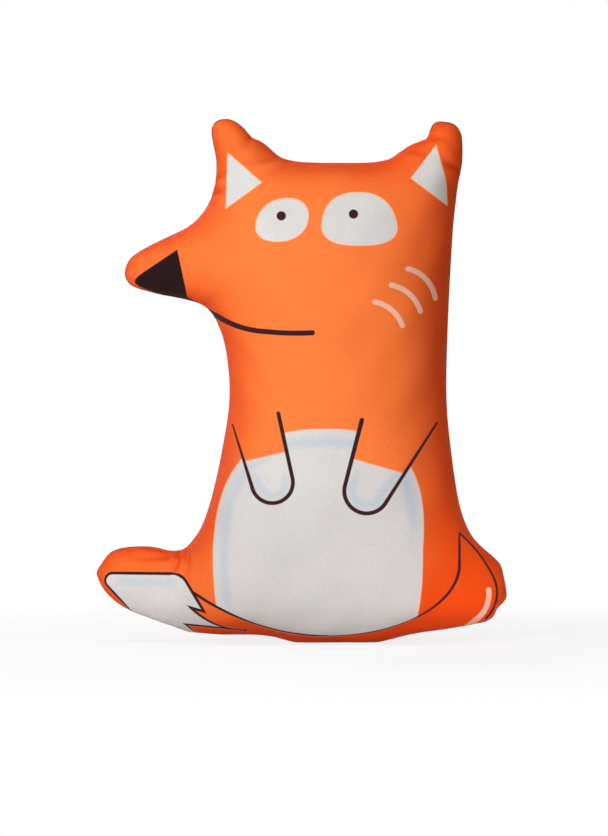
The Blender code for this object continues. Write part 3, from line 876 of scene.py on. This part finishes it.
def printed_knit():
    """The front's knit with the fox drawn on it."""
    knit = Knit("printed_stretch_knit")
    f, colours = knit.finish, bpy.context.scene.fox_colours
    nearer = abs(knit.y) / DRAWN_FROM + 1.0
    across, up = ((way - centre) * nearer + centre for way, centre in zip((knit.x, knit.z), DRAWN_ABOUT))
    d = Drawing(f, across, up, knit.facing)

    eyes = f.least(
        d.egg((-12.9, 282.3), (16.8, 14.2), lean=0.20, heavy=0.05, power=2.2),
        d.egg((38.4, 282.9), (24.0, 17.5), lean=-0.03, heavy=0.17, power=2.5),
    )
    pupils = f.least(d.disc((-13.6, 285.0), 3.1), d.disc((34.7, 286.2), 3.1))
    inner_ears = f.least(
        d.wedge([(-49.2, 326.5), (-50.4, 290.6), (-27.2, 307.4)], 1.2),
        d.wedge([(89.9, 331.6), (73.6, 310.3), (97.1, 292.6), (96.3, 309.0), (92.7, 322.0)], 1.0),
    )

    middle, waist, power = 18.0, 62.0, 2.6
    belly_up = f.most(d.z - waist, 0.0) / 80.0
    belly_low = f.most(waist - d.z, 0.0) / 98.0
    belly_out = abs(d.x - 10.9 - belly_up * 5.0) / 69.8
    belly = ((belly_up**power + belly_low**power + belly_out**power) ** (1 / power) - 1) * 70.0
    left_arm = d.bar((-19.6, 106.8), (-37.2, 175.0), 13.9, 18.5)
    right_arm = d.bar((43.5, 101.0), (77.4, 175.0), 15.0, 29.0)
    left_paw = f.most(left_arm, d.edge((-12.0, 126.4), (-40.0, 119.7)))
    right_paw = f.most(right_arm, d.edge((72.3, 111.1), (38.1, 121.1)))

    left_line = d.oval_line((middle, 224.0), (182.0, 220.0))
    right_line = d.oval_line((middle, 52.0), (87.6, 48.0))
    on_right = f.maths("GREATER_THAN", d.x, middle)
    lap_line = left_line + (right_line - left_line) * on_right

    tail_side, tail_top = ((-65.4, 20.4), (-78.2, 42.0)), ((-80.0, 45.6), (-134.0, 46.2))
    tail_low = ((-135.0, 43.0), (-114.6, 21.2))
    tail_end = f.most(d.corner(tail_side, tail_top, 11.0), d.corner(tail_top, tail_low, 5.0))
    tuft_curve = d.disc((-38.0, 58.6), 50.7)
    tuft_low = d.edge((-77.8, 11.8), (-36.0, 7.6))
    tuft = f.most(-tuft_curve, tuft_low, -76.0 - d.x, d.x + 37.0, d.z - 26.0)
    upper_notch = f.most(d.edge((-65.4, 20.4), (-73.8, 22.8)), tuft_curve)
    lower_notch = f.most(-tuft_low, d.edge((-77.8, 11.8), (-69.0, 5.0)))
    tail_tip = f.most(f.least(tail_end, tuft), -upper_notch, -lower_notch)

    above_lap = f.most(lap_line, -left_arm, -right_arm)
    white = f.least(eyes, inner_ears, tail_tip, left_paw, right_paw, f.most(belly, above_lap))

    nose_top, nose_low = d.edge((-83.4, 262.4), (-115.6, 240.7)), d.edge((-115.6, 240.4), (-75.8, 225.0))
    nose = f.most(f.maths("SMOOTH_MAX", nose_top, nose_low, 12.0), d.edge((-76.2, 229.6), (-83.2, 262.4)))
    mouth = d.curve((-57.4, 218.6), (-42.0, 211.0), (-24.0, 207.6), (-8.0, 206.6), (7.2, 206.8))
    jaw = d.bar((-77.0, 229.4), (-57.4, 218.6))
    arm_lines = f.least(
        d.hook((-15.6, 153.0), (-6.3, 110.4), (-18.7, 92.9), (-33.1, 103.4), (-46.2, 145.4), (1.3, 1.3, 0.5)),
        d.hook((40.3, 148.4), (29.0, 104.7), (39.4, 86.6), (55.8, 92.4), (90.4, 146.4), (1.5, 1.35, 0.7)),
    )
    lap = abs(lap_line) + f.step(d.x, -74.0, -76.0) * 9.0 + f.step(d.z, 73.2, 74.2) * 9.0
    haunch = d.curve((105.6, 72.8), (117.7, 60.3), (127.4, 45.2), (130.7, 31.5), (123.2, 15.6))
    seam_line = abs(knit.y) - 2.4
    lines = f.least(
        pupils, mouth - 1.7, jaw - 1.5, arm_lines, d.stroke(lap, 1.8),
        d.stroke(abs(tail_tip), 2.1), haunch - (d.facing * 0.6 + 0.3), seam_line,
    )

    belly_shade_ends = f.step(d.z - on_right * 52.0, 32.0, 14.0)
    blue = f.least(
        abs(belly + 7.0) - 2.4 + belly_shade_ends * 6.0,
        f.least(abs(left_arm + 5.0), abs(right_arm + 5.4)) - 2.4 + f.step(d.z, 106.0, 122.0) * 6.0,
        d.bar((-121.0, 40.6), (-87.0, 39.6), 2.2, 2.2),
    )
    cheek = f.least(
        d.arc((71.0, 249.6), (83.4, 242.4), (89.4, 230.0)),
        d.arc((60.0, 238.6), (72.4, 232.4), (79.4, 221.2)),
        d.arc((49.0, 227.4), (60.4, 221.8), (67.4, 211.6)),
    )
    shine = f.least(
        d.arc((125.1, 34.8), (123.6, 23.6), (116.0, 14.4)), d.bar((116.0, 14.4), (109.0, 10.6), 0.0, -1.4)
    )
    pale = f.least(cheek - 1.7, shine - 1.7)

    colour = knit.orange()
    for share, paint_over in (
        (f.step(white, 0.95, 0.2), colours.cream),
        (f.step(white, 0.15, -0.35), colours.white),
        (f.step(f.most(white + 1.0, blue), 3.2, -2.6) * 0.7, colours.blue),
        (f.step(pale, 0.4, -0.3), colours.blush),
        (f.step(lines, 0.3, -0.25), colours.pen),
        (f.step(nose, 0.3, -0.25), colours.ink),
    ):
        colour = f.mix(share, colour, paint_over)
    return knit.finish_cloth(colour)


def plain_knit():
    knit = Knit("plain_stretch_knit")
    return knit.finish_cloth(knit.orange())


def thread_finish():
    """Twisted sewing thread."""
    f, colours = material_finish("sewing_thread"), bpy.context.scene.fox_colours
    place = f.coordinates(3)
    x, y, z = (part * 1000.0 for part in f.parts(place))
    twist = f.maths("SINE", (x + z + y * 2.0) * (2 * math.pi / 0.35))
    f.put("Base Color", f.mix(twist * 0.5 + 0.5, colours.deep_orange, colours.thread))
    f.put("Roughness", twist * 0.06 + 0.5)
    f.relief(twist, 0.5, 0.00008)
    f.put("Sheen Weight", 0.2)
    return f.owner


def filling_finish():
    """A mass of small white beads."""
    f, colours = material_finish("filling_beads"), bpy.context.scene.fox_colours
    place = f.coordinates(3)
    cells = f.add("ShaderNodeTexVoronoi", None, {"Vector": place, "Scale": 420.0})
    grey = tuple(0.8 * c for c in colours.filling)
    f.put("Base Color", f.mix(f.step(cells, 0.25, 0.75), colours.filling, grey))
    f.put("Roughness", cells * 0.1 + 0.6)
    f.relief(1.0 - cells, 0.8, 0.0008)
    return f.owner


def stitch(middle, way, along, half, radius, bulge):
    """Points and faces of one short thread: along[0] by half to each side, bowed out along way by bulge."""
    rings, around = 5, 6
    points, faces = [], []
    for ring in range(rings):
        t = ring / (rings - 1) * 2 - 1
        centre = middle + along[0] * (half * t) + way * (bulge * (1 - t * t))
        thick = radius * math.sqrt(max(0.0, 1 - (0.92 * t) ** 8))
        for k in range(around):
            turn = 2 * math.pi * k / around
            points.append(centre + thick * (math.cos(turn) * way + math.sin(turn) * along[1]))
    for ring in range(rings - 1):
        for k in range(around):
            a, b = ring * around + k, ring * around + (k + 1) % around
            faces.append((a, b, b + around, a + around))
    faces.append(tuple(range(around))[::-1])
    faces.append(tuple((rings - 1) * around + k for k in range(around)))
    return points, faces


def stitches(name, spans, thread, pitch, reach, radius, slant, sink):
    """Short threads over the seam, along the lengths of it that spans gives."""
    shape = form()
    out = outward(shape.loop)
    columns = np.hstack([shape.ring, np.vstack([out, out[:1]])]).T
    points, faces = [], []
    for start, end in spans:
        for at in np.arange(start + pitch / 2, end, pitch):
            x, z, out_x, out_z = (np.interp(at, shape.lengths, column) for column in columns)
            way = np.array([out_x, 0.0, out_z])
            way /= norm(way)
            beside = np.array([-way[2], 0.0, way[0]])
            across = np.array([0.0, 1.0, 0.0]) + slant * beside
            across /= norm(across)
            middle = np.array([x, 0.0, z]) - way * sink
            if middle[2] - radius < 0.0004:
                continue
            made, sides = stitch(middle, way, (across, beside), reach, radius, sink * 0.25)
            faces += [tuple(len(points) + i for i in f) for f in sides]
            points += made
    return new_piece(name, points, faces, thread)


class FOX_OT_front_cover(bpy.types.Operator):
    """Builds the printed front cover"""

    bl_idname = "fox.front_cover"
    bl_label = "Front cover"

    def execute(self, context):
        piece = cover_panel("front_cover", -1, printed_knit())
        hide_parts("front_panel")
        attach(piece, BODY)
        return {"FINISHED"}


class FOX_OT_back_cover(bpy.types.Operator):
    """Builds the plain back cover"""

    bl_idname = "fox.back_cover"
    bl_label = "Back cover"

    def execute(self, context):
        piece = cover_panel("back_cover", 1, plain_knit())
        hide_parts("back_panel")
        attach(piece, BODY)
        return {"FINISHED"}


class FOX_OT_filling(bpy.types.Operator):
    """Builds the bead filling inside the covers"""

    bl_idname = "fox.filling"
    bl_label = "Bead filling"

    def execute(self, context):
        cover, shape = context.scene.fox_cover, form()
        held, sunk = shape.held, cover.fabric + FILLING_UNDER
        front = shape.front - sunk * shape.front_normals
        back = shape.back - sunk * shape.back_normals
        edge = cover.seam_allowance + FILLING_BEHIND
        front[:held] = shape.front[:held] - edge * shape.front_normals[:held]
        points = np.concatenate([front, back[held:]])
        points[:, 2] = np.maximum(points[:, 2], cover.fabric + FILLING_ABOVE)
        piece = new_piece("bead_filling", points, shape.closed, filling_finish())
        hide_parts(*FILLING_NODES)
        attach(piece, BODY)
        return {"FINISHED"}


class FOX_OT_stitches(bpy.types.Operator):
    """Builds the machine stitches and the hand stitches in the seam"""

    bl_idname = "fox.stitches"
    bl_label = "Seam stitches"

    def execute(self, context):
        sizes, shape = context.scene.fox_stitches, form()
        nearest = (norm(shape.loop - np.array(p) * MM, axis=1).argmin() for p in CLOSED_BY_HAND)
        start, end = sorted(shape.lengths[i] for i in nearest)
        spans, thread = [(0.0, start), (end, shape.lengths[-1])], thread_finish()
        given = thread, sizes.pitch, sizes.reach, sizes.thread / 2
        machine = stitches("seam_stitches", spans, *given, slant=0.15, sink=0.0006)
        given = thread, sizes.hand_pitch, sizes.hand_reach, sizes.thread * 0.6
        hand = stitches("closing_stitches", [(start, end)], *given, slant=0.55, sink=0.0004)
        for piece in (machine, hand):
            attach(piece, BODY)
        return {"FINISHED"}


def area_lamp(name, place, target, size, power, spread=math.pi):
    data = bpy.data.lights.new(name, "AREA")
    data.shape, data.size, data.energy, data.spread = "DISK", size, power, spread
    lamp = new_object(name, data)
    lamp.location = place
    lamp.rotation_euler = (Vector(target) - Vector(place)).to_track_quat("-Z", "Y").to_euler()
    lamp.visible_camera = False


def picture_rays(finish):
    """1 for the rays that show the background: seen directly, in gloss or through glass."""
    kinds = ("Is Camera Ray", "Is Glossy Ray", "Is Transmission Ray")
    return finish.most(*(finish.add("ShaderNodeLightPath", None, None, kind) for kind in kinds))


class FOX_OT_studio(bpy.types.Operator):
    """Builds the floor, the lamps, the room light and the camera"""

    bl_idname = "fox.studio"
    bl_label = "Studio"

    def execute(self, context):
        scene, studio, colours = context.scene, context.scene.fox_studio, context.scene.fox_colours
        self.floor(colours)
        middle = (0.0, 0.0, 0.17)
        area_lamp("key_lamp", (-0.95, -1.98, 0.68), (0.0, 0.0, 0.24), 1.15, studio.key)
        area_lamp("low_lamp", (0.40, -1.7, 0.10), (0.12, 0.0, 0.005), 0.2, studio.low, studio.low_spread)
        area_lamp("fill_lamp", (2.2, -1.2, 0.6), middle, 1.4, studio.fill)
        area_lamp("top_lamp", (-0.2, -0.5, 2.0), middle, 1.6, studio.top)
        area_lamp("back_lamp", (-0.9, 2.2, 0.9), middle, 1.5, studio.back)
        room = Finish(bpy.data.worlds.new("pale_room"))
        seen = picture_rays(room)
        room.put("Strength", seen * (1.0 - studio.ambient) + studio.ambient)
        room.put("Color", (1.0, 1.0, 1.0, 1.0))
        scene.world = room.owner
        data = bpy.data.cameras.new("camera")
        data.sensor_width = 36.0
        data.lens = data.sensor_width * studio.camera_distance / studio.picture_height
        data.clip_end = 50.0
        scene.camera = camera = new_object("camera", data)
        camera.location = (studio.camera_aside, -studio.camera_distance, studio.camera_height)
        camera.rotation_euler = (math.pi / 2, 0.0, 0.0)
        scene.view_settings.view_transform = "Standard"
        return {"FINISHED"}

    def floor(self, colours):
        """A round pale floor that keeps the toy's shadow and fades into the background."""
        f = material_finish("pale_floor")
        f.put("Base Color", (*colours.floor, 1.0))
        f.put("Roughness", 0.9)
        f.put("Specular IOR Level", 0.1)
        x, y, _ = f.parts(f.coordinates(3))
        far = f.maths("SQRT", x * x + y * y)
        share = (f.step(far, 0.18, 0.6) * 0.2 + 0.8) * picture_rays(f)
        glow = f.add("ShaderNodeEmission", None, {"Color": (1.0, 1.0, 1.0, 1.0), "Strength": 1.0})
        shown = f.add("ShaderNodeMixShader", None, {0: share, 1: Shade(f, f.shader.outputs[0]), 2: glow})
        f.feed(f.tree.nodes["Material Output"].inputs["Surface"], shown)
        around, rings = 96, (0.3, 1.0, 3.0, 8.0)
        points = [(0.0, 0.0, 0.0)]
        for radius in rings:
            turns = np.arange(around) * 2 * math.pi / around
            points += [(radius * math.cos(a), radius * math.sin(a), 0.0) for a in turns]
        faces = [(0, 1 + i, 1 + (i + 1) % around) for i in range(around)]
        for ring in range(len(rings) - 1):
            a, b = 1 + ring * around, 1 + (ring + 1) * around
            faces += [(a + i, b + i, b + (i + 1) % around, a + (i + 1) % around) for i in range(around)]
        floor = new_piece("floor", points, faces, f.owner, smooth=False)
        floor.location.z = -0.0002


class FOX_PT_toy(bpy.types.Panel):
    """The fox toy's pieces and sizes"""

    bl_idname = "FOX_PT_toy"
    bl_label = "Fox Toy"
    bl_space_type = "VIEW_3D"
    bl_region_type = "UI"
    bl_category = "Fox Toy"

    def draw(self, context):
        for operator in OPERATORS:
            self.layout.operator(operator.bl_idname)
        for group in SETTINGS:
            box = self.layout.box()
            for name in SETTINGS[group].__annotations__:
                box.prop(getattr(context.scene, group), name)


SETTINGS = {
    "fox_cover": FoxCoverSettings,
    "fox_stitches": FoxStitchSettings,
    "fox_colours": FoxColourSettings,
    "fox_studio": FoxStudioSettings,
}
OPERATORS = (FOX_OT_front_cover, FOX_OT_back_cover, FOX_OT_filling, FOX_OT_stitches, FOX_OT_studio)


def register():
    for made in (*SETTINGS.values(), *OPERATORS, FOX_PT_toy):
        bpy.utils.register_class(made)
    for name, group in SETTINGS.items():
        setattr(bpy.types.Scene, name, PointerProperty(type=group))


def unregister():
    for name in SETTINGS:
        delattr(bpy.types.Scene, name)
    for made in (FOX_PT_toy, *OPERATORS[::-1], *list(SETTINGS.values())[::-1]):
        bpy.utils.unregister_class(made)


def main():
    register()
    bpy.ops.fox.front_cover()
    bpy.ops.fox.back_cover()
    bpy.ops.fox.filling()
    bpy.ops.fox.stitches()
    bpy.ops.fox.studio()


if __name__ == "__main__":
    main()
